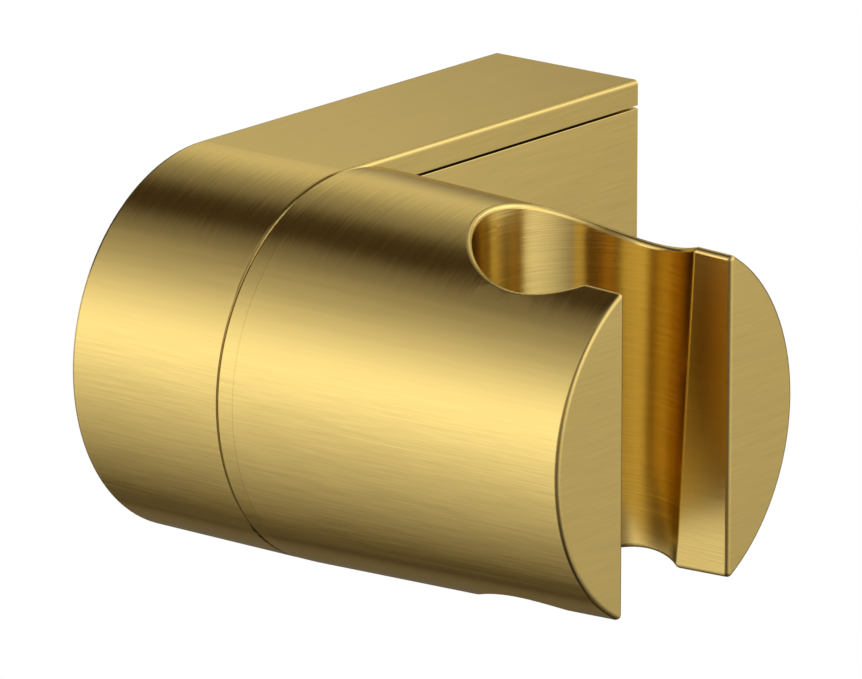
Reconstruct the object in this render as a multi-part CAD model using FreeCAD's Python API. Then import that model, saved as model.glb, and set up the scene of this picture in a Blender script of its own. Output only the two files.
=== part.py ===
"""A wall-mounted holder for a hand shower, in brushed brass.

A flat-topped wall block with a half-round nose carries a round cradle on its right face. The cradle
tapers slightly, holds the handset in an upright conical socket, lets the hose in through a slot in its
end face, and tilts about the axis that it shares with the block's nose.

Inside the block a bracket is screwed to the wall, and a side plate is screwed to the bracket. A hollow
cover slides over both from the left, and a set screw from below locks it. The cradle's spigot turns in
two flanged bushes in the side plate. A bolt, a keyed washer and two disc springs draw it against the
plate, so that it stays at the angle where it is left, and a small pin in a curved groove stops it at
each end of its travel.

Millimetres. The origin is the middle of the wall face. X runs along the tilt axis towards the cradle's
open end, Y runs into the wall, and Z is up. The tilt axis is at the origin's height.
"""

import FreeCAD
import Part

import math
import os

Vector = FreeCAD.Vector

# Wall block
nose_radius = 20.0
axis_to_wall = 47.7
block_width = 19.1
edge_round = 0.5

# Cover
cover_wall = 2.7
cover_side_wall = 2.5
cover_inner_round = 1.0
joint_gap = 0.3
seat_clearance = 0.05

# Side plate
plate_thickness = 3.5
plate_edge_round = 0.08
boss_length = 3.0
boss_wall = 2.4

# Wall bracket
base_thickness = 4.0
flange_thickness = 2.6
flange_reach = 18.0
flange_half_height = 12.0
flange_corner = 4.0
ledge_length = 9.0
ledge_thickness = 2.0
ledge_drop = 0.8
bracket_inner_round = 0.8
corner_relief = 1.2

# Countersunk screws that hold the side plate to the bracket
plate_screw_radius = 2.0
plate_screw_head_radius = 3.8
plate_screw_bite = 2.4
plate_screw_spread = 13.0
plate_screw_key = 2.5

# Screw holes to the wall, countersunk from the front
wall_hole_radius = 2.3
wall_head_radius = 4.0
wall_head_clearance = 0.25
wall_hole_spread = 19.6

# Set screw that locks the cover
set_screw_radius = 2.0
set_screw_length = 4.2
set_screw_recess = 0.4
set_screw_key = 2.0
thread_clearance = 0.03

# Cradle
cradle_length = 41.7
collar_length = 2.0
cradle_taper_deg = 1.8
cradle_edge_round = 0.1
running_gap = 0.12
cradle_round = 0.5

# Handset socket and hose slot
socket_from_end = 11.5
socket_radius = 10.4
socket_taper_deg = 1.9
slot_width = 16.9

# Pivot
spigot_radius = 4.0
running_clearance = 0.03
bush_wall = 1.0
bush_seat_clearance = 0.02
bush_flange_width = 3.0
bush_flange_thickness = 1.0
flange_recess_clearance = 0.1
thrust_clearance = 0.05
barrel_gap = 0.4

# Disc springs and washers
spring_bore_clearance = 0.1
spring_width = 2.4
spring_thickness = 0.4
spring_height = 0.9
stack_clearance = 0.02
keyed_washer_thickness = 1.2
keyed_washer_margin = 0.5
key_flat_offset = 3.2
key_clearance = 0.05
key_shortfall = 0.2
lock_washer_thickness = 1.1
lock_washer_width = 1.8
lock_washer_split = 0.8

# Pivot bolt
bolt_radius = 2.5
bolt_length = 14.0
bolt_head_radius = 4.25
bolt_head_height = 2.8
bolt_key = 3.0
bolt_hole_spare = 2.0
drill_point_deg = 118.0

# Seal ring, flat, between the side plate and the cradle
seal_width = 1.8
seal_thickness = 1.2
seal_groove_spare = 0.3
groove_land = 1.0

# Tilt stop
stop_pin_radius = 1.0
stop_pin_hold = 2.6
stop_pin_reach = 1.2
stop_groove_clearance = 0.15
stop_groove_floor = 0.3
tilt_limit_deg = 45.0

# Places along X
left_face = -block_width / 2
right_face = block_width / 2
plate_left = right_face - plate_thickness
boss_end = plate_left - boss_length
flange_left = plate_left - flange_thickness
cover_inner_left = left_face + cover_side_wall
bracket_left = cover_inner_left + seat_clearance
cradle_face = right_face + running_gap
recess_floor = cradle_face - thrust_clearance - bush_flange_thickness
cradle_end = right_face + cradle_length
collar_end = right_face + collar_length
socket_x = cradle_end - socket_from_end
inner_flange_left = boss_end - bush_flange_thickness
spring_stack = 2 * spring_height + 3 * stack_clearance
key_shoulder = inner_flange_left - spring_stack
washer_left = key_shoulder - keyed_washer_thickness
spigot_end = key_shoulder - keyed_washer_thickness + key_shortfall
lock_washer_left = washer_left - lock_washer_thickness
bolt_tip = lock_washer_left + bolt_length
bolt_hole_end = bolt_tip + bolt_hole_spare
wall_hole_x = flange_left - bracket_inner_round - wall_head_radius - wall_head_clearance
set_screw_x = (bracket_left + flange_left) / 2

# Heights and radii about the tilt axis
axis_y = -axis_to_wall
cover_inner_half = nose_radius - cover_wall
plate_half = cover_inner_half - joint_gap
base_half = cover_inner_half - seat_clearance
ledge_bottom = -base_half + ledge_drop
ledge_top = ledge_bottom + ledge_thickness
flange_front = -(base_thickness + flange_reach)
plate_screw_y = -(base_thickness + flange_reach / 2)
set_screw_y = -(base_thickness + ledge_length / 2)
cradle_taper = math.tan(math.radians(cradle_taper_deg))
socket_taper = math.tan(math.radians(socket_taper_deg))
cradle_end_radius = nose_radius - (cradle_end - collar_end) * cradle_taper
bush_inner_radius = spigot_radius + running_clearance
bush_outer_radius = bush_inner_radius + bush_wall
bush_bore_radius = bush_outer_radius + bush_seat_clearance
boss_radius = bush_bore_radius + boss_wall
flange_radius = bush_outer_radius + bush_flange_width
recess_radius = flange_radius + flange_recess_clearance
barrel_length = (recess_floor - boss_end - barrel_gap) / 2
spring_inner_radius = spigot_radius + spring_bore_clearance
spring_outer_radius = spring_inner_radius + spring_width
keyed_washer_radius = spring_outer_radius + keyed_washer_margin
seal_groove_inner = recess_radius + groove_land
seal_groove_width = seal_width + seal_groove_spare
seal_groove_outer = seal_groove_inner + seal_groove_width
seal_groove_depth = seal_thickness + 2 * stack_clearance - running_gap
stop_groove_half = stop_pin_radius + stop_groove_clearance
stop_circle = seal_groove_outer + groove_land + stop_groove_half
stop_groove_depth = stop_pin_reach - running_gap + stop_groove_floor

# Lengths that only have to reach past a face before a cut
past = 1.0


def on_axis(x, radius=0.0, angle_deg=0.0):
    """A point at a radius from the tilt axis. Angle 0 points at the wall and 90 points up."""
    angle = math.radians(angle_deg)
    return Vector(x, axis_y + radius * math.cos(angle), radius * math.sin(angle))


def rod(radius, x_from, x_to):
    """A solid cylinder on the tilt axis."""
    return Part.makeCylinder(radius, x_to - x_from, on_axis(x_from), Vector(1, 0, 0))


def ring(inner, outer, x_from, x_to):
    """A flat ring on the tilt axis."""
    return rod(outer, x_from, x_to).cut(rod(inner, x_from - past, x_to + past))


def turned(outline):
    """Turns an outline of (x, radius) points about the tilt axis. Its seam faces the wall."""
    points = [on_axis(x, radius) for x, radius in outline]
    face = Part.Face(Part.makePolygon(points + points[:1]))
    return face.revolve(on_axis(0), Vector(1, 0, 0), 360)


def nose_profile(half_height, x_from, x_to):
    """The block's side outline, flat above and below with a half-round nose, as a solid slab."""
    top_back = Vector(x_from, 0, half_height)
    top_front = Vector(x_from, axis_y, half_height)
    tip = Vector(x_from, axis_y - half_height, 0)
    bottom_front = Vector(x_from, axis_y, -half_height)
    bottom_back = Vector(x_from, 0, -half_height)
    edges = [
        Part.LineSegment(top_back, top_front).toShape(),
        Part.Arc(top_front, tip, bottom_front).toShape(),
        Part.LineSegment(bottom_front, bottom_back).toShape(),
        Part.LineSegment(bottom_back, top_back).toShape(),
    ]
    return Part.Face(Part.Wire(edges)).extrude(Vector(x_to - x_from, 0, 0))


def box(x_from, x_to, y_from, y_to, z_from, z_to):
    """A box between two corners."""
    size = (x_to - x_from, y_to - y_from, z_to - z_from)
    return Part.makeBox(*size, Vector(x_from, y_from, z_from))


def hexagon(across_flats, base, direction, depth):
    """A hexagonal key socket, as the solid that cuts it."""
    corner = across_flats / math.sqrt(3)
    side = Vector(0, 1, 0)
    up = direction.cross(side)
    turns = [math.radians(60 * i) for i in range(6)]
    points = [base + side * (corner * math.cos(a)) + up * (corner * math.sin(a)) for a in turns]
    return Part.Face(Part.makePolygon(points + points[:1])).extrude(direction * depth)


def edges_where(shape, wanted):
    """The edges between two different faces whose box passes a test."""
    found = []
    for edge in shape.Edges:
        touching = [face for face in shape.Faces if any(edge.isSame(e) for e in face.Edges)]
        if len(touching) == 2 and wanted(edge.BoundBox):
            found.append(edge)
    return found


def near(value, target):
    """True where two sizes are the same to within a hundredth."""
    return abs(value - target) < 0.01


def make_cover():
    """The outer shell: top, nose, bottom and left side, open towards the wall and the cradle."""
    outside = nose_profile(nose_radius, left_face, right_face)

    def is_outline(b):
        return near(b.XMin, b.XMax) and b.YMin < -past

    outside = outside.makeFillet(edge_round, edges_where(outside, is_outline))
    inside = nose_profile(cover_inner_half, cover_inner_left, right_face + past)

    def is_left_outline(b):
        return near(b.XMax, cover_inner_left) and b.YMin < -past

    inside = inside.makeFillet(cover_inner_round, edges_where(inside, is_left_outline))
    shell = outside.cut(inside)
    hole = Part.makeCylinder(
        set_screw_radius, cover_wall + 2 * past, Vector(set_screw_x, set_screw_y, -nose_radius - past)
    )
    return shell.cut(hole)


def screw_tip_z():
    """How high the set screw's cone point reaches."""
    return -nose_radius + set_screw_recess + set_screw_length


def make_side_plate():
    """The inset plate on the cradle's side, with the boss for the bushes behind it."""
    plate = nose_profile(plate_half, plate_left, right_face)

    def is_front_outline(b):
        return near(b.XMin, right_face) and b.YMin < -past

    plate = plate.makeFillet(plate_edge_round, edges_where(plate, is_front_outline))
    boss = rod(boss_radius, boss_end, plate_left)
    cuts = [
        rod(bush_bore_radius, boss_end - past, right_face + past),
        rod(recess_radius, recess_floor, right_face + past),
        ring(seal_groove_inner, seal_groove_outer, right_face - seal_groove_depth, right_face + past),
        stop_groove(),
    ]
    for z in plate_screw_heights():
        start = Vector(plate_left - past, plate_screw_y, z)
        length = plate_screw_bite + thread_clearance + past
        cuts.append(Part.makeCylinder(plate_screw_radius, length, start, Vector(1, 0, 0)))
    return plate.fuse(boss).removeSplitter().cut(cuts)


def plate_screw_heights():
    """The heights of the two screws between the bracket and the side plate."""
    return (-plate_screw_spread / 2, plate_screw_spread / 2)


def make_bracket():
    """The base that is screwed to the wall, the side flange and the ledge, cast in one."""
    base = box(bracket_left, plate_left, -base_thickness, 0, -base_half, base_half)

    def is_left_corner(b):
        return near(b.XMax, bracket_left) and b.YLength > base_thickness / 2

    base = base.makeChamfer(corner_relief, edges_where(base, is_left_corner))
    ledge_front = -base_thickness - ledge_length
    ledge = box(bracket_left, flange_left, ledge_front, -base_thickness, ledge_bottom, ledge_top)
    flange = box(
        flange_left, plate_left, flange_front, -base_thickness, -flange_half_height, flange_half_height
    )

    def is_flange_corner(b):
        return near(b.YMin, flange_front) and near(b.YMax, flange_front) and b.XLength > past

    flange = flange.makeFillet(flange_corner, edges_where(flange, is_flange_corner))
    body = base.fuse([ledge, flange]).removeSplitter()

    def is_inner_corner(b):
        along_flange = near(b.XMin, flange_left) and near(b.XMax, flange_left)
        return along_flange and near(b.YMin, -base_thickness) and near(b.YMax, -base_thickness)

    body = body.makeFillet(bracket_inner_round, edges_where(body, is_inner_corner))
    cuts = [screw_dimple()]
    for z in (-wall_hole_spread / 2, wall_hole_spread / 2):
        cuts.append(wall_hole(z))
    for z in plate_screw_heights():
        cuts.append(plate_screw_shape(z, seat_clearance))
    return body.cut(cuts)


def plate_screw_shape(z, clearance):
    """One countersunk screw's outline, or with a clearance the hole that it passes through."""
    radius = plate_screw_radius - thread_clearance + clearance
    head_radius = plate_screw_head_radius + clearance
    tip = plate_left + plate_screw_bite
    outline = [
        (flange_left, 0),
        (flange_left, head_radius),
        (flange_left + head_radius - radius, radius),
        (tip, radius),
        (tip, 0),
    ]
    points = [Vector(x, plate_screw_y + r, z) for x, r in outline]
    face = Part.Face(Part.makePolygon(points + points[:1]))
    return face.revolve(Vector(flange_left, plate_screw_y, z), Vector(1, 0, 0), 360)


def make_plate_screw(z):
    """One countersunk screw with a hexagonal socket, from the bracket into the side plate."""
    head = Vector(flange_left, plate_screw_y, z)
    socket = hexagon(plate_screw_key, head, Vector(1, 0, 0), flange_thickness * 0.6)
    return plate_screw_shape(z, 0).cut(socket)


def stop_groove():
    """The curved groove that the stop pin runs in, on the side towards the wall."""
    inner = stop_circle - stop_groove_half
    outer = stop_circle + stop_groove_half
    floor = right_face - stop_groove_depth
    spare_deg = math.degrees(stop_groove_clearance / stop_circle)
    reach = tilt_limit_deg + spare_deg
    corners = [
        (inner, -reach),
        (outer, -reach),
        (outer, reach),
        (inner, reach),
    ]
    a, b, c, d = [on_axis(floor, radius, angle) for radius, angle in corners]
    edges = [
        Part.Arc(a, on_axis(floor, stop_circle, -reach) + end_bulge(-reach), b).toShape(),
        Part.Arc(b, on_axis(floor, outer), c).toShape(),
        Part.Arc(c, on_axis(floor, stop_circle, reach) + end_bulge(reach), d).toShape(),
        Part.Arc(d, on_axis(floor, inner), a).toShape(),
    ]
    return Part.Face(Part.Wire(edges)).extrude(Vector(stop_groove_depth + past, 0, 0))


def end_bulge(angle_deg):
    """From the centre of the groove's round end to its tip."""
    turn = math.radians(angle_deg + math.copysign(90, angle_deg))
    return Vector(0, math.cos(turn), math.sin(turn)) * stop_groove_half


def screw_dimple():
    """The conical seat in the ledge that the set screw's point enters."""
    depth = screw_tip_z() + seat_clearance - ledge_bottom
    floor = set_screw_radius / 2 + seat_clearance
    start = Vector(set_screw_x, set_screw_y, ledge_bottom - past)
    return Part.makeCone(floor + depth + past, floor, depth + past, start)


def wall_hole(z):
    """One countersunk hole to the wall, as the solid that cuts it."""
    into_wall = Vector(0, 1, 0)
    start = Vector(wall_hole_x, -base_thickness - past, z)
    hole = Part.makeCylinder(wall_hole_radius, base_thickness + 2 * past, start, into_wall)
    sink_depth = wall_head_radius - wall_hole_radius + past
    sink = Part.makeCone(wall_head_radius + past, wall_hole_radius, sink_depth, start, into_wall)
    return hole.fuse(sink)


def make_set_screw():
    """Headless screw with a hexagonal socket below and a cone point above."""
    radius = set_screw_radius - thread_clearance
    bottom = -nose_radius + set_screw_recess
    point = radius / 2
    outline = [
        (0, bottom),
        (radius, bottom),
        (radius, bottom + set_screw_length - point),
        (point, bottom + set_screw_length),
        (0, bottom + set_screw_length),
    ]
    points = [Vector(set_screw_x + r, set_screw_y, z) for r, z in outline]
    face = Part.Face(Part.makePolygon(points + points[:1]))
    foot = Vector(set_screw_x, set_screw_y, bottom)
    body = face.revolve(foot, Vector(0, 0, 1), 360)
    socket = hexagon(set_screw_key, foot, Vector(0, 0, 1), set_screw_length / 2)
    return body.cut(socket)


def make_bush(flange_from, flange_to, barrel_to):
    """A flanged bush. Its barrel starts at the flange's second face."""
    flange = ring(bush_inner_radius, flange_radius, min(flange_from, flange_to), max(flange_from, flange_to))
    barrel = ring(bush_inner_radius, bush_outer_radius, min(flange_to, barrel_to), max(flange_to, barrel_to))
    return flange.fuse(barrel).removeSplitter()


def make_disc_spring(x_inner, x_outer):
    """A conical spring washer between its inner rim's outer face and its outer rim's outer face."""
    lean = math.copysign(spring_thickness, x_outer - x_inner)
    outline = [
        (x_inner, spring_inner_radius),
        (x_inner + lean, spring_inner_radius),
        (x_outer, spring_outer_radius),
        (x_outer - lean, spring_outer_radius),
    ]
    return turned(outline)


def key_flats(x_from, x_to, clearance):
    """A round bar with two flats, which carries the keyed washer or cuts its hole."""
    half = key_flat_offset + clearance
    reach = spigot_radius + clearance
    bar = rod(reach, x_from, x_to)
    return bar.common(box(x_from, x_to, axis_y - 2 * reach, axis_y + 2 * reach, -half, half))


def make_keyed_washer():
    """Turns with the spigot, so that the bolt's head never rubs."""
    disc = rod(keyed_washer_radius, washer_left, key_shoulder)
    return disc.cut(key_flats(washer_left - past, key_shoulder + past, key_clearance))


def make_lock_washer():
    """A split spring ring under the bolt's head, closed flat by the bolt."""
    inner = bolt_radius + seat_clearance
    body = ring(inner, inner + lock_washer_width, lock_washer_left, washer_left)
    split = box(
        lock_washer_left - past,
        washer_left + past,
        axis_y - lock_washer_split / 2,
        axis_y + lock_washer_split / 2,
        0,
        bolt_head_radius + past,
    )
    return body.cut(split)


def make_bolt():
    """Socket-head bolt that is screwed into the cradle's spigot."""
    head_left = lock_washer_left - bolt_head_height
    radius = bolt_radius - thread_clearance
    bevel = radius / 5
    outline = [
        (head_left, 0),
        (head_left, bolt_head_radius - bevel),
        (head_left + bevel, bolt_head_radius),
        (lock_washer_left, bolt_head_radius),
        (lock_washer_left, radius),
        (bolt_tip - bevel, radius),
        (bolt_tip, radius - bevel),
        (bolt_tip, 0),
    ]
    socket = hexagon(bolt_key, on_axis(head_left), Vector(1, 0, 0), bolt_head_height * 0.65)
    return turned(outline).cut(socket)


def make_seal_ring():
    """A flat rubber ring between the side plate and the cradle."""
    right = cradle_face - stack_clearance
    inner = seal_groove_inner + seal_groove_spare / 2
    return ring(inner, inner + seal_width, right - seal_thickness, right)


def make_stop_pin():
    """A short pin pressed into the cradle's left face."""
    start = on_axis(cradle_face - stop_pin_reach, stop_circle)
    length = stop_pin_reach + stop_pin_hold
    return Part.makeCylinder(stop_pin_radius, length, start, Vector(1, 0, 0))


def make_cradle():
    """The tapered round body with its spigot, conical socket and hose slot."""
    body = turned(
        [
            (spigot_end, 0),
            (spigot_end, spigot_radius),
            (cradle_face, spigot_radius),
            (cradle_face, nose_radius),
            (collar_end, nose_radius),
            (cradle_end, cradle_end_radius),
            (cradle_end, 0),
        ]
    )

    def is_seam_edge(b):
        return near(b.XMin, cradle_face) and near(b.XMax, cradle_face) and near(b.ZMax, nose_radius)

    body = body.makeFillet(cradle_edge_round, edges_where(body, is_seam_edge))
    reach = nose_radius + past
    socket = Part.makeCone(
        socket_radius - reach * socket_taper,
        socket_radius + reach * socket_taper,
        2 * reach,
        Vector(socket_x, axis_y, -reach),
    )
    half_slot = slot_width / 2
    slot = box(socket_x, cradle_end + past, axis_y - half_slot, axis_y + half_slot, -reach, reach)
    body = body.cut(socket.fuse(slot))
    socket_left = socket_x - socket_radius - reach * socket_taper

    def is_cut_edge(b):
        return b.XMin > socket_left

    body = body.makeFillet(cradle_round, edges_where(body, is_cut_edge))
    flats = rod(spigot_radius + past, spigot_end - past, key_shoulder).cut(
        key_flats(spigot_end - past, key_shoulder, 0)
    )
    drill_point = bolt_radius / math.tan(math.radians(drill_point_deg / 2))
    bolt_hole = turned(
        [
            (spigot_end - past, 0),
            (spigot_end - past, bolt_radius),
            (bolt_hole_end, bolt_radius),
            (bolt_hole_end + drill_point, 0),
        ]
    )
    pin_hole = Part.makeCylinder(
        stop_pin_radius, stop_pin_hold + past, on_axis(cradle_face - past, stop_circle), Vector(1, 0, 0)
    )
    return body.cut([flats, bolt_hole, pin_hole])


def make_parts():
    """Every piece of the holder, by name."""
    outer_flange_right = cradle_face - thrust_clearance
    outer_flange_left = outer_flange_right - bush_flange_thickness
    spring_right = inner_flange_left - stack_clearance
    spring_middle = key_shoulder + spring_stack / 2
    return {
        "cover": make_cover(),
        "wall_bracket": make_bracket(),
        "side_plate": make_side_plate(),
        "lower_plate_screw": make_plate_screw(plate_screw_heights()[0]),
        "upper_plate_screw": make_plate_screw(plate_screw_heights()[1]),
        "set_screw": make_set_screw(),
        "outer_bush": make_bush(outer_flange_right, outer_flange_left, outer_flange_left - barrel_length),
        "inner_bush": make_bush(inner_flange_left, boss_end, boss_end + barrel_length),
        "seal_ring": make_seal_ring(),
        "cradle": make_cradle(),
        "stop_pin": make_stop_pin(),
        "right_disc_spring": make_disc_spring(spring_right, spring_middle + stack_clearance / 2),
        "left_disc_spring": make_disc_spring(
            key_shoulder + stack_clearance, spring_middle - stack_clearance / 2
        ),
        "keyed_washer": make_keyed_washer(),
        "lock_washer": make_lock_washer(),
        "pivot_bolt": make_bolt(),
    }


os.makedirs("parts", exist_ok=True)
for name, shape in make_parts().items():
    shape.exportStep(f"parts/{name}.step")
    print(name, round(shape.Volume, 1), "mm3,", len(shape.Solids), "solid, valid", shape.isValid())
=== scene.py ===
# %% [markdown]
# # A hand shower holder in brushed gold
#
# The holder is a small wall block with a half-round nose. A round, slightly tapered cradle turns on
# its right side and takes the hand shower in an upright socket. Every piece is brushed metal, so
# this lesson is mostly about two things: a finish whose fine scratches run the right way on each
# face, and a studio whose reflections give the metal its form.

import math

import bpy
import bmesh
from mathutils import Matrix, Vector


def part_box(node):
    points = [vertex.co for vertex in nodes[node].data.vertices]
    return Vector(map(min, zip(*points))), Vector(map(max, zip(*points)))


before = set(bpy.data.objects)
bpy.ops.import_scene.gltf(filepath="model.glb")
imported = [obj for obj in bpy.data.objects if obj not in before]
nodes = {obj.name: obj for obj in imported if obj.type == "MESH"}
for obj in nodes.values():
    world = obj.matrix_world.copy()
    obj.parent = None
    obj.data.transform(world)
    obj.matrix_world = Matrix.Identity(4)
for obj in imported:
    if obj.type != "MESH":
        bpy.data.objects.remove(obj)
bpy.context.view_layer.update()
print("pieces:", sorted(nodes))

# %% [markdown]
# ## The camera
#
# Product pictures of small fittings are taken from far away with a long lens, so that parallel
# edges stay nearly parallel. The camera looks at the middle of the holder from the front right and
# a little from above. It is placed by its two angles and its distance instead of by typed
# coordinates, because those are the values that one would change.

# %% Camera
MM = 0.001
CAMERA_AZIMUTH = math.radians(38.95)
CAMERA_ELEVATION = math.radians(15.79)
CAMERA_DISTANCE = 846.4 * MM
CAMERA_SHIFT_RIGHT = 8.51 * MM
CAMERA_SHIFT_UP = 2.42 * MM
SENSOR_WIDTH = 36.0
PICTURE_WIDTH = 862
FOCAL_LENGTH_IN_PIXELS = 8450
CLIP_START, CLIP_END = 0.05, 20

block_low, block_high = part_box("cover")
_, cradle_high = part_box("cradle")
nose_radius = (block_high.z - block_low.z) / 2
tilt_axis = Vector((block_high.x, block_low.y + nose_radius, 0))


def add_camera():
    """Puts the camera on a sphere around the end of the block's tilt axis."""
    sight = Vector((
        -math.sin(CAMERA_AZIMUTH) * math.cos(CAMERA_ELEVATION),
        math.cos(CAMERA_AZIMUTH) * math.cos(CAMERA_ELEVATION),
        -math.sin(CAMERA_ELEVATION),
    ))
    right = Vector((math.cos(CAMERA_AZIMUTH), math.sin(CAMERA_AZIMUTH), 0))
    up = right.cross(sight)
    target = tilt_axis + right * CAMERA_SHIFT_RIGHT + up * CAMERA_SHIFT_UP
    data = bpy.data.cameras.new("camera")
    data.sensor_width = SENSOR_WIDTH
    data.lens = SENSOR_WIDTH * FOCAL_LENGTH_IN_PIXELS / PICTURE_WIDTH
    data.clip_start = CLIP_START
    data.clip_end = CLIP_END
    camera = bpy.data.objects.new("camera", data)
    camera.location = target - sight * CAMERA_DISTANCE
    camera.rotation_euler = sight.to_track_quat("-Z", "Y").to_euler()
    bpy.context.scene.collection.objects.link(camera)
    bpy.context.scene.camera = camera
    return camera


camera = add_camera()
bpy.context.scene.view_settings.view_transform = "Standard"
print("camera at", [round(v, 3) for v in camera.location], "lens", round(camera.data.lens, 1))

# %% [markdown]
# ## Small helpers for node trees
#
# A finish is a small graph of nodes. Writing each link by hand hides what the graph does, so a few
# short helpers make nodes, sums and blends read almost like a formula.

# %% Node helpers
class Graph:
    """A node tree with short ways to add to it."""

    def __init__(self, tree):
        self.tree = tree
        self.tree.nodes.clear()

    def node(self, kind, **settings):
        """Adds a node and sets its properties."""
        new = self.tree.nodes.new(kind)
        for key, value in settings.items():
            setattr(new, key, value)
        return new

    def plug(self, socket, value):
        """Connects a value to a socket, or sets the socket to a plain number or vector."""
        if isinstance(value, bpy.types.NodeSocket):
            self.tree.links.new(value, socket)
        else:
            socket.default_value = value

    def math(self, operation, *values, clamp=False):
        """One step of arithmetic on numbers."""
        new = self.node("ShaderNodeMath", operation=operation, use_clamp=clamp)
        for i, value in enumerate(values):
            self.plug(new.inputs[i], value)
        return new.outputs[0]

    def vector(self, operation, *values, scale=None):
        """One step of arithmetic on vectors."""
        new = self.node("ShaderNodeVectorMath", operation=operation)
        for i, value in enumerate(values):
            self.plug(new.inputs[i], value)
        if scale is not None:
            self.plug(new.inputs["Scale"], scale)
        return new.outputs["Value" if operation in ("DOT_PRODUCT", "LENGTH") else "Vector"]

    def split(self, value):
        """The three parts of a vector."""
        new = self.node("ShaderNodeSeparateXYZ")
        self.plug(new.inputs[0], value)
        return new.outputs

    def join(self, x, y, z):
        """A vector made of three numbers."""
        new = self.node("ShaderNodeCombineXYZ")
        for socket, value in zip(new.inputs, (x, y, z)):
            self.plug(socket, value)
        return new.outputs[0]

    def fade(self, value, low, high, to_low=0.0, to_high=1.0):
        """A soft step from one number to another as the value goes from low to high."""
        new = self.node("ShaderNodeMapRange", interpolation_type="SMOOTHSTEP")
        for name, number in zip(("Value", "From Min", "From Max", "To Min", "To Max"),
                                (value, low, high, to_low, to_high)):
            self.plug(new.inputs[name], number)
        return new.outputs[0]

    def window(self, *edges):
        """1 inside a patch and 0 outside it, from the value and the limits of each soft edge."""
        inside = self.fade(*edges[0])
        for edge in edges[1:]:
            inside = self.math("MULTIPLY", inside, self.fade(*edge))
        return inside

    def dim(self, colour, where, amount):
        """A colour, darker by an amount where the second value is 1."""
        return self.vector("SCALE", colour, scale=self.math("MULTIPLY_ADD", where, -amount, 1.0))

    def bump(self, height):
        """The surface's normal on a relief of that height in metres."""
        new = self.node("ShaderNodeBump")
        new.inputs["Distance"].default_value = 1.0
        self.plug(new.inputs["Height"], height)
        return new.outputs[0]

    def blend(self, factor, first, second, kind="RGBA"):
        """A mix of two colours, or of two vectors."""
        new = self.node("ShaderNodeMix", data_type=kind)
        start = {"RGBA": 6, "VECTOR": 4, "FLOAT": 2}[kind]
        self.plug(new.inputs[0], factor)
        self.plug(new.inputs[start], first)
        self.plug(new.inputs[start + 1], second)
        return new.outputs[{"RGBA": 2, "VECTOR": 1, "FLOAT": 0}[kind]]

    def ramp(self, value, stops, interpolation="EASE"):
        """A colour for each value from 0 to 1."""
        new = self.node("ShaderNodeValToRGB")
        new.color_ramp.interpolation = interpolation
        elements = new.color_ramp.elements
        while len(elements) < len(stops):
            elements.new(1.0)
        for element, (position, colour) in zip(elements, stops):
            element.position = position
            element.color = (*colour, 1)
        self.plug(new.inputs[0], value)
        return new.outputs[0]


print("graph helpers ready")

# %% [markdown]
# ## The studio: a tent that only the metal sees
#
# Polished and brushed metal has hardly any colour of its own to show: it shows the room. A
# photographer therefore hangs cards and softboxes around such a piece and keeps them out of the
# picture. Here one round tent does that work. Its strips of light run parallel to the tilt axis, as
# long strip lights do beside a bottle, so its brightness is written by the angle around that axis.
# It is brightest straight in front, and it has a dark gap overhead, which draws the dark band along
# the upper side of both round surfaces.
#
# The open end of the holder looks the other way, to the right. There the brightness goes by the
# compass angle and grows from the floor to the ceiling, and one softbox hangs above at the back,
# which lights the rounded edges. A narrow grey card stands behind on the left: it draws the thin
# dark line that sets each bright edge off from the face beside it. The strips end in a shaded side
# on the far left, so that the edges in the joint stay quiet. A plain wall right behind lights the
# depth of the socket. The camera doesn't see the tent.
#
# Each patch has soft edges. A pair of numbers says where in the direction, from -1 to 1 along one
# axis, the patch hasn't begun yet and where it is full.

# %% Tent
TENT_RADIUS = 0.32
TENT_STRENGTH = 1.11
WARMTH = Vector((0.020, 0.0, -0.014))
DARK = 0.033
STRIP_LIGHTS = [
    (-180, 0.06), (-172, 0.06), (-160, 0.17), (-145, 0.19), (-132, 0.20), (-120, 0.21),
    (-112, 0.17), (-105, 0.05), (-97, 0.01), (-88, 0.13), (-60, 0.37), (-30, 0.71),
    (-20, 0.85), (-10, 1.07), (8, 1.42), (19, 1.36), (32, 0.95), (50, 0.48),
    (66, 0.29), (76, 0.19), (85, DARK), (100, DARK), (104, 0.08), (110, 0.22),
    (122, 0.36), (136, 0.75), (150, 1.04), (158, 0.68), (165, 0.57), (172, 0.16),
    (180, 0.07),
]
RIGHT_LIGHTS = [
    (-180, 0.45), (-150, 0.60), (-127, 0.90), (-113, 0.75), (-103, 0.42), (-92, 0.22),
    (-75, 0.15), (-62, 0.11), (-45, 0.14), (-38, 0.21), (-33, 0.27), (-22, 0.42),
    (-10, 0.55), (2, 0.63), (12, 0.58), (22, 0.54), (32, 0.52), (51, 0.51),
    (74, 0.28), (83, 0.07), (124, 0.07), (140, 0.30), (180, 0.45),
]
RIGHT_BY_HEIGHT = [
    (-1.0, 0.10), (-0.80, 0.22), (-0.60, 0.58), (-0.35, 0.97), (-0.25, 1.0), (-0.10, 1.20),
    (0.0, 1.42), (0.20, 1.85), (0.42, 2.20), (0.55, 1.80), (0.70, 1.25), (0.85, 0.80),
    (1.0, 0.50),
]
SIDE_CHANGE, CHANGE_BY_HEIGHT = (-0.40, -0.10), 0.90
BACK_WALL = (0.57, 0.54, 0.50, 1)
WALL_ACROSS, WALL_UP, WALL_BEHIND = (-0.58, -0.44), (-0.06, 0.10), (0.80, 0.93)
CARD_SHADE = 0.75
CARD_LEFT, CARD_RIGHT, CARD_BEHIND = (-0.48, -0.40), (-0.18, -0.26), (0.45, 0.62)
LEFT_SHADE = 0.60
LEFT_ACROSS, LEFT_UP = (-0.70, -0.80), (-0.05, 0.15)
SOFTBOX = (1.52, 1.52, 1.50, 1)
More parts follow.
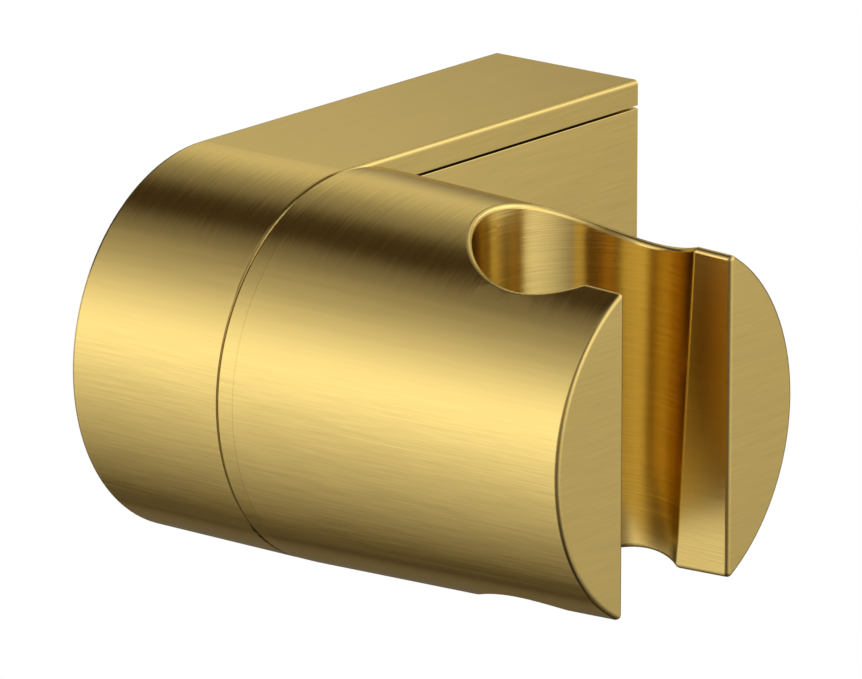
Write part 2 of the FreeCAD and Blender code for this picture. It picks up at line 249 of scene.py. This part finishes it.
SOFTBOX_ACROSS, SOFTBOX_SLANT, SOFTBOX_BEHIND = (0.40, 0.54), 0.3, (0.20, 0.60)
SOFTBOX_BOTTOM, SOFTBOX_TOP = (0.20, 0.50), (0.78, 0.64)


def lights_by_angle(graph, rise, run, lights):
    """The light for the angle of a direction, from a list of angles in degrees and levels."""
    angle = graph.math("ARCTAN2", rise, run)
    turn = graph.math("MULTIPLY_ADD", angle, 0.5 / math.pi, 0.5)
    stops = []
    for degrees, level in lights:
        stops.append((degrees / 360 + 0.5, Vector((level, level, level)) + WARMTH))
    return graph.ramp(turn, stops, "LINEAR")


def gain_by_height(graph, z):
    """How much more light comes from the right side, the higher it comes from."""
    stops = [((height + 1) / 2, (gain, gain, gain)) for height, gain in RIGHT_BY_HEIGHT]
    return graph.ramp(graph.math("MULTIPLY_ADD", z, 0.5, 0.5), stops, "LINEAR")


def tent_light(graph):
    """The brightness of the tent in each direction, as a colour."""
    here = graph.node("ShaderNodeTexCoord").outputs["Object"]
    x, y, z = graph.split(graph.vector("NORMALIZE", here))
    strips = lights_by_angle(graph, z, graph.math("MULTIPLY", y, -1.0), STRIP_LIGHTS)
    right = lights_by_angle(graph, y, x, RIGHT_LIGHTS)
    right = graph.vector("MULTIPLY", right, gain_by_height(graph, z))
    raised = graph.math("POWER", graph.math("MAXIMUM", z, 0.0), 2.0)
    towards_end = graph.math("MULTIPLY_ADD", raised, -CHANGE_BY_HEIGHT, x)
    room = graph.blend(graph.fade(towards_end, *SIDE_CHANGE), strips, right)
    wall = graph.window((z, *WALL_UP), (x, *WALL_ACROSS), (y, *WALL_BEHIND))
    room = graph.blend(wall, room, BACK_WALL)
    card = graph.window((x, *CARD_LEFT), (x, *CARD_RIGHT), (y, *CARD_BEHIND))
    room = graph.dim(room, card, CARD_SHADE)
    left = graph.window((x, *LEFT_ACROSS), (z, *LEFT_UP))
    room = graph.dim(room, left, LEFT_SHADE)
    slanted = graph.math("MULTIPLY_ADD", y, SOFTBOX_SLANT, x)
    softbox = graph.window((slanted, *SOFTBOX_ACROSS), (z, *SOFTBOX_BOTTOM), (z, *SOFTBOX_TOP),
                           (y, *SOFTBOX_BEHIND))
    return graph.blend(softbox, room, SOFTBOX)


def add_tent():
    """A sphere of light around the holder that the camera looks through."""
    mesh = bpy.data.meshes.new("reflection_tent")
    shape = bmesh.new()
    bmesh.ops.create_icosphere(shape, subdivisions=4, radius=TENT_RADIUS)
    shape.to_mesh(mesh)
    shape.free()
    tent = bpy.data.objects.new("reflection_tent", mesh)
    tent.location = tilt_axis
    tent.visible_camera = False
    bpy.context.scene.collection.objects.link(tent)
    material = bpy.data.materials.new("tent_light")
    material.use_nodes = True
    graph = Graph(material.node_tree)
    light = graph.node("ShaderNodeEmission")
    graph.plug(light.inputs["Color"], tent_light(graph))
    graph.plug(light.inputs["Strength"], TENT_STRENGTH)
    out = graph.node("ShaderNodeOutputMaterial")
    graph.plug(out.inputs["Surface"], light.outputs[0])
    mesh.materials.append(material)
    return tent


tent = add_tent()
print("tent of", len(tent.data.polygons), "faces")

# %% [markdown]
# ## The white room and its floor
#
# Behind the tent lies a plain white room with a pale floor well below the holder, because the real
# one hangs on a wall. Both are white to the camera at a strength of one, and they show the same
# white to shiny and clear surfaces.

# %% Room and floor
FLOOR_BELOW = 2.5
FLOOR_SIZE = 12.0
FLOOR_COLOUR = (0.93, 0.93, 0.925, 1)
WHITE = (1, 1, 1, 1)


def seen_directly(graph):
    """1 for the camera, for mirrors and through glass, and 0 for the light on other surfaces."""
    path = graph.node("ShaderNodeLightPath")
    direct = graph.math("MAXIMUM", path.outputs["Is Camera Ray"], path.outputs["Is Glossy Ray"])
    return graph.math("MAXIMUM", direct, path.outputs["Is Transmission Ray"])


def white_room():
    """The world: white where it is seen, and a soft grey light elsewhere."""
    world = bpy.data.worlds.new("white_room")
    world.use_nodes = True
    bpy.context.scene.world = world
    graph = Graph(world.node_tree)
    sky = graph.node("ShaderNodeBackground")
    graph.plug(sky.inputs["Color"], graph.blend(seen_directly(graph), FLOOR_COLOUR, WHITE))
    out = graph.node("ShaderNodeOutputWorld")
    graph.plug(out.inputs["Surface"], sky.outputs[0])


def add_floor():
    """A pale floor, far enough below the holder for its shadow to be very soft."""
    half = FLOOR_SIZE / 2
    corners = [(-half, -half, 0), (half, -half, 0), (half, half, 0), (-half, half, 0)]
    mesh = bpy.data.meshes.new("floor")
    mesh.from_pydata(corners, [], [(0, 1, 2, 3)])
    floor = bpy.data.objects.new("floor", mesh)
    floor.location.z = block_low.z - FLOOR_BELOW
    bpy.context.scene.collection.objects.link(floor)
    material = bpy.data.materials.new("pale_floor")
    material.use_nodes = True
    graph = Graph(material.node_tree)
    matt = graph.node("ShaderNodeBsdfDiffuse")
    graph.plug(matt.inputs["Color"], FLOOR_COLOUR)
    white = graph.node("ShaderNodeEmission")
    graph.plug(white.inputs["Color"], WHITE)
    either = graph.node("ShaderNodeMixShader")
    graph.plug(either.inputs[0], seen_directly(graph))
    graph.plug(either.inputs[1], matt.outputs[0])
    graph.plug(either.inputs[2], white.outputs[0])
    out = graph.node("ShaderNodeOutputMaterial")
    graph.plug(out.inputs["Surface"], either.outputs[0])
    mesh.materials.append(material)
    return floor


white_room()
floor = add_floor()
print("floor", round(floor.location.z, 3), "m")

# %% [markdown]
# ## Scratches that follow the belt
#
# A brushed face has thousands of scratches side by side. Noise becomes such scratches when the
# point that it is read at is shrunk along them, so that it changes quickly across and slowly along.
# The belt runs front to back on the top and on the ends, and sideways on the front, so the
# direction is chosen from the way the surface faces, with a soft change from one to the other.

# %% Scratch helpers
ALONG = 0.028
TOP_TURN, END_TURN = (-0.12, 0.10), (0.70, 0.85)


def facing_weights(graph, normal):
    """How much a surface faces up or down, and how much it faces along the tilt axis."""
    nx, ny, nz = [graph.math("ABSOLUTE", part) for part in graph.split(normal)]
    upward = graph.fade(graph.math("SUBTRACT", nz, ny), *TOP_TURN)
    endways = graph.fade(nx, *END_TURN)
    return upward, endways


def speckle(graph, place, scale, seed, detail=2.0):
    """Noise from 0 to 1 at a point, with so many grains to the metre."""
    noise = graph.node("ShaderNodeTexNoise", noise_dimensions="3D")
    scaled = graph.vector("SCALE", place, scale=scale)
    graph.plug(noise.inputs["Vector"], graph.vector("ADD", scaled, seed))
    noise.inputs["Scale"].default_value = 1.0
    noise.inputs["Detail"].default_value = detail
    noise.inputs["Roughness"].default_value = 0.6
    return noise.outputs[0]


def brushed_places(graph, spot):
    """The point, shrunk along the scratches, for faces that look up, to the front and to the end."""
    x, y, z = graph.split(spot)
    short_x, short_y = graph.math("MULTIPLY", x, ALONG), graph.math("MULTIPLY", y, ALONG)
    on_top = graph.join(x, short_y, 0.0)
    on_front = graph.join(short_x, 0.0, z)
    on_end = graph.join(0.0, short_y, z)
    return on_top, on_front, on_end


def by_facing(graph, weights, values, kind):
    """Picks the value for the way the surface faces."""
    on_top, on_front, on_end = values
    round_body = graph.blend(weights[0], on_front, on_top, kind)
    return graph.blend(weights[1], round_body, on_end, kind)


def to_world(graph, direction):
    """Turns a direction of the piece into one of the room, so that it moves with the piece."""
    turn = graph.node("ShaderNodeVectorTransform", vector_type="VECTOR",
                      convert_from="OBJECT", convert_to="WORLD")
    graph.plug(turn.inputs[0], direction)
    return turn.outputs[0]


def new_material(name):
    """An empty material with its graph, where the piece is and which way it faces."""
    material = bpy.data.materials.new(name)
    material.use_nodes = True
    graph = Graph(material.node_tree)
    coordinates = graph.node("ShaderNodeTexCoord")
    return material, graph, coordinates.outputs["Object"], coordinates.outputs["Normal"]


def finish_with(graph, shader):
    """Ends a graph with its surface."""
    out = graph.node("ShaderNodeOutputMaterial")
    graph.plug(out.inputs["Surface"], shader.outputs[0])


def coat(node, material):
    """Gives a piece one finish all over."""
    slots = nodes[node].data.materials
    slots.clear()
    slots.append(material)


print("scratches are", round(1 / ALONG), "times as long as they are wide")

# %% [markdown]
# ## Brushed gold
#
# The real finish is brass, brushed with a fine abrasive belt and then coated in a gold colour.
# Along a scratch the metal is nearly a mirror, across it the light is smeared. Three things in the
# finish make that:
#
# - anisotropy, which smears the reflection across the scratches only,
# - a streaky tilt of the surface, so that single scratches catch the light,
# - slightly different roughness and colour from streak to streak.
#
# The piece isn't the same all over, and the values at the top of the next cell say how. A belt
# can't reach into the socket. It is left as the boring tool and a polishing bob made it, with fine
# rings and a softer, more even shine, and its gold is painted a little lighter there, a painted light
# in the socket's depth. Its walls are known by their direction, because only the walls of the socket
# and the slot look towards the socket's axis. A hairline runs around the cradle where its collar
# ends and the taper starts.
#
# The two faces that turn on each other at the joint carry a painted shade, and a darker band of
# painted shade lies along the upper rim of the nose, so the joint between block and cradle shows as
# a thin dark line. The belt wraps around the outer part of that rim and leaves it as flat as the nose
# itself. The rounded edge around the block's left end carries a painted dark reflection, a thin brown
# line.

# %% Places with their own finish
SOCKET_FROM_END = 11.5 * MM
SOCKET_RADIUS = 10.4 * MM
SOCKET_FINENESS = 1.5
SOCKET_FACING = (-0.30, -0.60)
COLLAR_LENGTH = 2.0 * MM
HAIRLINE, HAIRLINE_SHADE = 0.045 * MM, 0.80
JOINT_DEPTH, JOINT_COVER = (0.9 * MM, 0.6 * MM), 0.1 * MM
NOSE_FRONT = (0.2 * MM, -2.2 * MM)
# Where the band of painted shade lies along the upper rim of the nose at the joint.
RIM_SHADE_WIDTH, RIM_SHADE_CORE, RIM_SHADE_FAINT = 0.30 * MM, (0.24 * MM, 0.10 * MM), 0.30
RIM_SHADE_HEIGHT = (0.89, 0.955)
FLAT_LIMIT, FLAT_HEIGHT = 0.20 * MM, (0.60, 0.45)
BEFORE_LIMIT, AFTER_LIMIT = -0.05 * MM, 0.04 * MM
EDGE_START, EDGE_END = (-0.04, -0.22), (-0.97, -0.85)


def socket_walls(graph, spot, normal):
    """1 on the walls of the socket and its slot and 0 elsewhere, and the place around the socket."""
    x, y, z = graph.split(spot)
    off_x = graph.math("SUBTRACT", x, cradle_high.x - SOCKET_FROM_END)
    off_y = graph.math("SUBTRACT", y, tilt_axis.y)
    outwards = graph.vector("NORMALIZE", graph.join(off_x, off_y, 0.0))
    walls = graph.fade(graph.vector("DOT_PRODUCT", outwards, normal), *SOCKET_FACING)
    around = graph.math("MULTIPLY", graph.math("ARCTAN2", off_y, off_x), SOCKET_RADIUS * ALONG / 2)
    return walls, graph.vector("SCALE", graph.join(0.0, around, z), scale=SOCKET_FINENESS)


def joint_faces(graph, spot, weights):
    """1 on the two flat faces that turn on each other at the joint, where shade is painted, and 0
    elsewhere.
    """
    x, y, z = graph.split(spot)
    from_axis = graph.join(0.0, graph.math("SUBTRACT", y, tilt_axis.y), z)
    from_joint = graph.math("ABSOLUTE", graph.math("SUBTRACT", x, block_high.x))
    near = graph.window((graph.vector("LENGTH", from_axis), nose_radius, nose_radius - JOINT_COVER),
                        (from_joint, *JOINT_DEPTH))
    return graph.math("MULTIPLY", near, weights[1])


def nose_rim(graph, spot):
    """1 along the rim of the nose at the joint, once where shade is painted and once where it is
    flat.
    """
    x, y, z = graph.split(spot)
    front = (y, *[tilt_axis.y + limit for limit in NOSE_FRONT])
    edge = block_high.x - RIM_SHADE_WIDTH
    core = (x, *[edge + limit for limit in RIM_SHADE_CORE], RIM_SHADE_FAINT, 1.0)
    height = (z, *[share * nose_radius for share in RIM_SHADE_HEIGHT])
    rim_shade = graph.window((x, edge + BEFORE_LIMIT, edge + AFTER_LIMIT), core, height, front)
    limit = block_high.x - FLAT_LIMIT
    height = (z, *[share * nose_radius for share in FLAT_HEIGHT])
    return rim_shade, graph.window((x, limit + AFTER_LIMIT, limit + BEFORE_LIMIT), height, front)


def left_edge(graph, facing):
    """1 along the rounded edge around the block's left end, where a dark reflection is painted, and 0
    elsewhere.
    """
    leftwards = graph.split(facing)[0]
    return graph.window((leftwards, *EDGE_START), (leftwards, *EDGE_END))


def collar_line(graph, spot):
    """Slightly less than 1 on the hairline at the collar's end, and 1 elsewhere."""
    from_joint = graph.math("SUBTRACT", graph.split(spot)[0], block_high.x + COLLAR_LENGTH)
    away = graph.math("ABSOLUTE", from_joint)
    return graph.fade(away, HAIRLINE / 2, HAIRLINE * 1.5, HAIRLINE_SHADE, 1.0)


print("joint at", round(block_high.x / MM, 2), "mm from the middle of the wall face")
print("socket at", round((cradle_high.x - SOCKET_FROM_END) / MM, 2), "mm")

# %% [markdown]
# Now the finish itself. The direction of the scratches belongs to the piece and is turned into one of
# the room, so the scratches stay on the cradle when it tilts.

# %% Brushed gold
GOLD = (0.80, 0.606, 0.206)
GOLD_DEEP = (0.64, 0.485, 0.163)
GOLD_EDGE = (0.68, 0.63, 0.50, 1)
# The colour of the painted shade along the nose's rim.
RIM_PAINTED_SHADE = (0.20, 0.10, 0.015, 1)
# A painted dark reflection on the rounded edge around the block's left end.
EDGE_PAINTED_REFLECTION, EDGE_PAINTED_REFLECTION_TINT, EDGE_REFLECTION_SHARE = (0.16, 0.13, 0.06, 1), (0.12, 0.11, 0.08, 1), 0.62
# Painted shade on the joint's faces, painted light on the socket's walls and on the whole side plate.
JOINT_PAINTED_SHADE, SOCKET_PAINTED_LIGHT, SIDE_PLATE_PAINTED_LIGHT = 0.80, 1.08, 1.07
FINE, BROAD, TILT_GRAIN = 5200.0, 2600.0, 7800.0
ROUGHNESS, SOCKET_ROUGHNESS, ROUGHNESS_SPREAD = 0.20, 0.195, 0.08
ANISOTROPY, SOCKET_ANISOTROPY = 0.92, 0.64
FINE_TILT = 0.10
LONG_TILT, END_LONG_TILT, SOCKET_LONG_TILT = 0.070, 0.045, 0.045
CONTRAST, END_CONTRAST, SOCKET_CONTRAST = 1.5, 0.7, 2.2
BROAD_SHARE, SOCKET_BROAD_SHARE = 0.4, 0.1
END_FACE = (0.80, 0.95)


def by_place(graph, weights, walls, belt, end, socket):
    """A value for the faces that the belt brushed, one for the ends and one for the socket."""
    return graph.blend(walls, graph.blend(weights[1], belt, end, "FLOAT"), socket, "FLOAT")


def flattened(graph, normal, facing, flat):
    """The normal without its part along the tilt axis where the rim of the nose is flat."""
    upright = graph.vector("NORMALIZE", graph.vector("MULTIPLY", normal, (0, 1, 1)))
    end_face = graph.fade(graph.math("ABSOLUTE", graph.split(facing)[0]), *END_FACE)
    flat = graph.math("MULTIPLY", flat, graph.math("SUBTRACT", 1.0, end_face))
    return graph.blend(flat, normal, upright, "VECTOR")


def tilted_by_scratches(graph, normal, along, fine, tilt, tilt_size):
    """The normal as the scratches tilt it, and the direction across them."""
    across = graph.vector("NORMALIZE", graph.vector("CROSS_PRODUCT", normal, along))
    lengthways = graph.vector("CROSS_PRODUCT", across, normal)
    fine_tilt = graph.math("MULTIPLY", graph.math("SUBTRACT", fine, 0.5), FINE_TILT)
    long_tilt = graph.math("MULTIPLY", graph.math("SUBTRACT", tilt, 0.5), tilt_size)
    tilted = graph.vector("ADD", normal, graph.vector("SCALE", across, scale=fine_tilt))
    tilted = graph.vector("ADD", tilted, graph.vector("SCALE", lengthways, scale=long_tilt))
    return graph.vector("NORMALIZE", tilted), across


def streaky_gold(graph, walls, fine, broad, contrast, shade):
    """The colour of each streak, between a deep and a light gold."""
    share = graph.blend(walls, BROAD_SHARE, SOCKET_BROAD_SHARE, "FLOAT")
    streak = graph.math("SUBTRACT", graph.blend(share, fine, broad, "FLOAT"), 0.5)
    streak = graph.math("MULTIPLY_ADD", streak, contrast, 0.5)
    return graph.blend(streak, (*(Vector(GOLD_DEEP) * shade), 1), (*(Vector(GOLD) * shade), 1))


# shade scales the whole piece's gold; where it is not 1 it is a painted light or shade.
def brushed_gold(name, seed, shade=1.0, has_socket=False, has_nose=False):
    """The coated and brushed brass of one piece."""
    material, graph, spot, facing = new_material(name)
    weights = facing_weights(graph, facing)
    places = brushed_places(graph, spot)
    walls, around = socket_walls(graph, spot, facing) if has_socket else (0.0, None)

    def noise(scale, shift, detail=2.0):
        offset = (seed + shift, seed * 2 + shift, shift)
        layers = [speckle(graph, place, scale, offset, detail) for place in places]
        belt = by_facing(graph, weights, layers, "FLOAT")
        if not has_socket:
            return belt
        return graph.blend(walls, belt, speckle(graph, around, scale, offset, detail), "FLOAT")

    fine, broad, tilt = noise(FINE, 3.1), noise(BROAD, 11.7), noise(TILT_GRAIN, 23.3, 4.0)
    # Painted shade on the two faces in the joint.
    tone = graph.math("MULTIPLY_ADD", joint_faces(graph, spot, weights), JOINT_PAINTED_SHADE - 1, 1.0)
    if has_socket:
        tone = graph.math("MULTIPLY", tone, collar_line(graph, spot))
        # Painted light on the socket's walls.
        tone = graph.math("MULTIPLY", tone, graph.math("MULTIPLY_ADD", walls, SOCKET_PAINTED_LIGHT - 1, 1.0))
    contrast = by_place(graph, weights, walls, CONTRAST, END_CONTRAST, SOCKET_CONTRAST)
    colour, tint = streaky_gold(graph, walls, fine, broad, contrast, shade), GOLD_EDGE
    normal = graph.node("ShaderNodeNewGeometry").outputs["Normal"]
    if has_nose:
        # Painted shade along the nose's rim, and a painted dark reflection on the block's left edge.
        rim_shade, flat = nose_rim(graph, spot)
        edge_reflection = graph.math("MULTIPLY", left_edge(graph, facing), EDGE_REFLECTION_SHARE)
        colour = graph.blend(edge_reflection, graph.blend(rim_shade, colour, RIM_PAINTED_SHADE), EDGE_PAINTED_REFLECTION)
        tint = graph.blend(edge_reflection, tint, EDGE_PAINTED_REFLECTION_TINT)
        normal = flattened(graph, normal, facing, flat)
    along = by_facing(graph, weights, ((0, 1, 0), (1, 0, 0), (0, 1, 0)), "VECTOR")
    tilt_size = by_place(graph, weights, walls, LONG_TILT, END_LONG_TILT, SOCKET_LONG_TILT)
    tilted, across = tilted_by_scratches(graph, normal, to_world(graph, along), fine, tilt, tilt_size)
    roughness = graph.blend(walls, ROUGHNESS, SOCKET_ROUGHNESS, "FLOAT")
    anisotropy = graph.blend(walls, ANISOTROPY, SOCKET_ANISOTROPY, "FLOAT")
    unevenness = graph.math("SUBTRACT", broad, 0.5)

    metal = graph.node("ShaderNodeBsdfPrincipled")
    metal.inputs["Metallic"].default_value = 1.0
    graph.plug(metal.inputs["Specular Tint"], tint)
    graph.plug(metal.inputs["Base Color"], graph.vector("SCALE", colour, scale=tone))
    graph.plug(metal.inputs["Anisotropic"], anisotropy)
    graph.plug(metal.inputs["Roughness"],
               graph.math("MULTIPLY_ADD", unevenness, ROUGHNESS_SPREAD, roughness))
    graph.plug(metal.inputs["Normal"], tilted)
    graph.plug(metal.inputs["Tangent"], across)
    finish_with(graph, metal)
    return material


coat("cover", brushed_gold("brushed_gold_cover", 1.0, has_nose=True))
# The side plate's gold is painted lighter all over, a painted light.
coat("side_plate", brushed_gold("brushed_gold_side_plate", 6.0, shade=SIDE_PLATE_PAINTED_LIGHT))
coat("cradle", brushed_gold("brushed_gold_cradle", 11.0, has_socket=True))
print("brushed gold on cover, side plate and cradle")

# %% [markdown]
# ## Turned steel
#
# The pivot bolt, the screws, the pin, the disc springs and the lock washer are round. A lathe or a
# press leaves rings around their axis, and hardening leaves the springs darker and a little brown.
# So the noise is read at the distance from the axis and the place along it, which makes rings.
# Corners are rubbed bright: a bevel lookup compares the true surface with a slightly rounded one,
# and where they differ there is an edge. Threads are fine bumps in the finish, because the solid's
# thread is a plain cylinder.

# %% Turned steel
EDGE_WEAR, SHARP_CORNER = 0.12 * MM, (0.995, 0.90)
RING_GRAIN, CLOUD_GRAIN = 9000.0, 700.0
RING_HEIGHT, THREAD_HEIGHT, THREAD_LIMIT = 0.004 * MM, 0.25, (1.04, 0.99)
TARNISH = (1.05, 0.86, 0.70)
RUBBED_STEEL = (0.74, 0.74, 0.75, 1)


def worn_edges(graph):
    """1 near sharp corners and 0 on open faces."""
    rounded = graph.node("ShaderNodeBevel", samples=4)
    rounded.inputs["Radius"].default_value = EDGE_WEAR
    true = graph.node("ShaderNodeNewGeometry").outputs["Normal"]
    alike = graph.vector("DOT_PRODUCT", rounded.outputs[0], true)
    return graph.fade(alike, *SHARP_CORNER)


def around_axis(graph, spot, axis, centre):
    """The place along an axis, the distance from it and the direction away from it."""
    from_centre = graph.vector("SUBTRACT", spot, centre)
    along = graph.vector("DOT_PRODUCT", from_centre, axis)
    away = graph.vector("SUBTRACT", from_centre, graph.vector("SCALE", axis, scale=along))
    return along, graph.vector("LENGTH", away), away


def turned_steel(name, colour, roughness, seed, axis, centre,
                 tarnish=0.0, pitch=None, thread_radius=0.0):
    """Steel with rings around its axis, rubbed corners and, where asked, a thread."""
    material, graph, spot, _ = new_material(name)
    along, radius, away = around_axis(graph, spot, axis, centre)
    offset = (seed, seed * 3.0, seed * 0.7)
    rings = speckle(graph, graph.join(along, radius, 0.0), RING_GRAIN, offset, 3.0)
    cloud = speckle(graph, spot, CLOUD_GRAIN, offset, 3.0)
    edge = worn_edges(graph)

    base = Vector(colour)
    browned = base * Vector(TARNISH)
    toned = graph.blend(graph.math("MULTIPLY", cloud, tarnish), (*base, 1), (*browned, 1))
    ringed = graph.vector("SCALE", toned, scale=graph.math("MULTIPLY_ADD", rings, 0.30, 0.85))
    worn = graph.blend(graph.math("MULTIPLY", edge, 0.6), ringed, RUBBED_STEEL)

    height = graph.math("MULTIPLY", rings, RING_HEIGHT)
    if pitch:
        wave = graph.math("SINE", graph.math("MULTIPLY", along, 2 * math.pi / pitch))
        on_thread = graph.fade(radius, *[thread_radius * share for share in THREAD_LIMIT])
        thread = graph.math("MULTIPLY", wave, on_thread)
        thread = graph.math("MULTIPLY", thread, pitch * THREAD_HEIGHT)
        height = graph.math("ADD", height, thread)

    metal = graph.node("ShaderNodeBsdfPrincipled")
    metal.inputs["Metallic"].default_value = 1.0
    metal.inputs["Anisotropic"].default_value = 0.55
    graph.plug(metal.inputs["Base Color"], worn)
    shine = graph.math("MULTIPLY_ADD", edge, -0.08, roughness - 0.07)
    graph.plug(metal.inputs["Roughness"], graph.math("MULTIPLY_ADD", cloud, 0.14, shine))
    graph.plug(metal.inputs["Normal"], graph.bump(height))
    tangent = to_world(graph, graph.vector("CROSS_PRODUCT", axis, away))
    graph.plug(metal.inputs["Tangent"], graph.vector("NORMALIZE", tangent))
    finish_with(graph, metal)
    return material


SCREW_STEEL = (0.55, 0.55, 0.57)
SPRING_STEEL = (0.42, 0.42, 0.44)
SIDEWAYS, UPRIGHT = (1, 0, 0), (0, 0, 1)
BOLT_PITCH, SCREW_PITCH = 0.8 * MM, 0.7 * MM
BOLT_RADIUS, SCREW_RADIUS = 2.5 * MM, 2.0 * MM


def middle(node):
    """The middle of a piece's box."""
    low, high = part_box(node)
    return tuple((low + high) / 2)


coat("pivot_bolt", turned_steel("bolt_steel", SCREW_STEEL, 0.30, 2.0, SIDEWAYS, tuple(tilt_axis),
                                pitch=BOLT_PITCH, thread_radius=BOLT_RADIUS))
coat("stop_pin", turned_steel("pin_steel", SCREW_STEEL, 0.24, 3.0, SIDEWAYS, middle("stop_pin")))
for seed, screw in enumerate(("lower_plate_screw", "upper_plate_screw")):
    coat(screw, turned_steel("steel_" + screw, SCREW_STEEL, 0.30, 4.0 + seed, SIDEWAYS, middle(screw),
                             pitch=SCREW_PITCH, thread_radius=SCREW_RADIUS))
coat("set_screw", turned_steel("set_screw_steel", SCREW_STEEL, 0.32, 6.0, UPRIGHT,
                               middle("set_screw"), tarnish=0.4,
                               pitch=SCREW_PITCH, thread_radius=SCREW_RADIUS))
for seed, spring in enumerate(("left_disc_spring", "right_disc_spring", "lock_washer")):
    coat(spring, turned_steel("spring_steel_" + spring, SPRING_STEEL, 0.36, 7.0 + seed, SIDEWAYS,
                              tuple(tilt_axis), tarnish=0.8))
print("turned steel on the bolt, screws, pin, springs and lock washer")

# %% [markdown]
# ## Pressed steel
#
# The wall bracket and the keyed washer are pressed from rolled sheet and passivated. Rolling leaves
# faint straight lines, and the bath leaves soft clouds that shine a little more or less. The
# bracket's back lies on the wall and is seen from behind.

# %% Pressed steel
BRACKET_STEEL = (0.62, 0.62, 0.63)
SHEET_GRAIN, SHEET_CLOUDS = 4200.0, 260.0
GRAIN_HEIGHT, CLOUD_HEIGHT = 0.004 * MM, 0.02 * MM
COOL, WARM = (0.86, 0.86, 0.86), (1.04, 1.01, 0.95)
RUBBED_SHEET = (0.80, 0.80, 0.81, 1)


def pressed_steel(name, seed):
    """Rolled and passivated sheet steel."""
    material, graph, spot, facing = new_material(name)
    weights = facing_weights(graph, facing)
    offset = (seed, seed * 2.0, seed * 3.0)
    places = brushed_places(graph, spot)
    layers = [speckle(graph, place, SHEET_GRAIN, offset, 3.0) for place in places]
    grain = by_facing(graph, weights, layers, "FLOAT")
    cloud = speckle(graph, spot, SHEET_CLOUDS, offset, 4.0)
    edge = worn_edges(graph)

    base = Vector(BRACKET_STEEL)
    cool, warm = [(*(base * Vector(tone)), 1) for tone in (COOL, WARM)]
    toned = graph.blend(graph.fade(cloud, 0.35, 0.65), cool, warm)
    grained = graph.vector("SCALE", toned, scale=graph.math("MULTIPLY_ADD", grain, 0.24, 0.88))
    worn = graph.blend(graph.math("MULTIPLY", edge, 0.5), grained, RUBBED_SHEET)
    height = graph.math("MULTIPLY", cloud, CLOUD_HEIGHT)
    height = graph.math("MULTIPLY_ADD", grain, GRAIN_HEIGHT, height)

    metal = graph.node("ShaderNodeBsdfPrincipled")
    metal.inputs["Metallic"].default_value = 1.0
    graph.plug(metal.inputs["Base Color"], worn)
    graph.plug(metal.inputs["Roughness"], graph.math("MULTIPLY_ADD", cloud, 0.22, 0.26))
    graph.plug(metal.inputs["Normal"], graph.bump(height))
    finish_with(graph, metal)
    return material


coat("wall_bracket", pressed_steel("bracket_steel", 1.0))
coat("keyed_washer", pressed_steel("washer_steel", 2.0))
print("pressed steel on the wall bracket and the keyed washer")

# %% [markdown]
# ## Plastic and rubber
#
# The two bushes are moulded in an off-white, slippery plastic. It lets a little light in, has flow
# lines so faint that they are mostly felt, and its flanges are burnished where the cradle turns
# against them. The seal is black rubber: nearly no shine, a fine grain and a grey bloom.

# %% Plastic and rubber
BUSH_PLASTIC = (0.86, 0.85, 0.81)
SEAL_RUBBER = (0.05, 0.05, 0.05)
PLASTIC_RELIEF, RUBBER_RELIEF = 0.006 * MM, 0.015 * MM


def bush_plastic(name, seed):
    """Off-white moulded plastic, burnished where it rubs."""
    material, graph, spot, _ = new_material(name)
    along, radius, _ = around_axis(graph, spot, SIDEWAYS, tuple(tilt_axis))
    offset = (seed, seed, seed)
    flow = speckle(graph, spot, 420.0, offset, 3.0)
    grain = speckle(graph, spot, 9000.0, offset, 2.0)
    rubbed = speckle(graph, graph.join(along, radius, 0.0), 5000.0, offset, 3.0)
    base = Vector(BUSH_PLASTIC)
    colour = graph.blend(flow, (*(base * 0.93), 1), (*base, 1))
    height = graph.math("MULTIPLY", rubbed, PLASTIC_RELIEF)
    height = graph.math("MULTIPLY_ADD", grain, PLASTIC_RELIEF, height)
    plastic = graph.node("ShaderNodeBsdfPrincipled")
    plastic.inputs["Subsurface Weight"].default_value = 0.15
    plastic.inputs["Subsurface Radius"].default_value = (1.0, 0.9, 0.7)
    plastic.inputs["Subsurface Scale"].default_value = 0.5 * MM
    graph.plug(plastic.inputs["Base Color"], colour)
    graph.plug(plastic.inputs["Roughness"], graph.math("MULTIPLY_ADD", rubbed, 0.25, 0.28))
    graph.plug(plastic.inputs["Normal"], graph.bump(height))
    finish_with(graph, plastic)
    return material


def seal_rubber(name):
    """Black rubber with a grey bloom."""
    material, graph, spot, _ = new_material(name)
    grain = speckle(graph, spot, 7000.0, (1.0, 1.0, 1.0), 3.0)
    bloom = speckle(graph, spot, 350.0, (4.0, 4.0, 4.0), 4.0)
    base = Vector(SEAL_RUBBER)
    colour = graph.blend(graph.fade(bloom, 0.40, 0.75), (*(base * 0.8), 1), (*(base * 1.8), 1))
    rubber = graph.node("ShaderNodeBsdfPrincipled")
    graph.plug(rubber.inputs["Base Color"], colour)
    graph.plug(rubber.inputs["Roughness"], graph.math("MULTIPLY_ADD", bloom, 0.25, 0.60))
    graph.plug(rubber.inputs["Normal"], graph.bump(graph.math("MULTIPLY", grain, RUBBER_RELIEF)))
    finish_with(graph, rubber)
    return material


coat("inner_bush", bush_plastic("inner_bush_plastic", 1.0))
coat("outer_bush", bush_plastic("outer_bush_plastic", 2.0))
coat("seal_ring", seal_rubber("seal_rubber"))
print("plastic on the bushes, rubber on the seal ring")
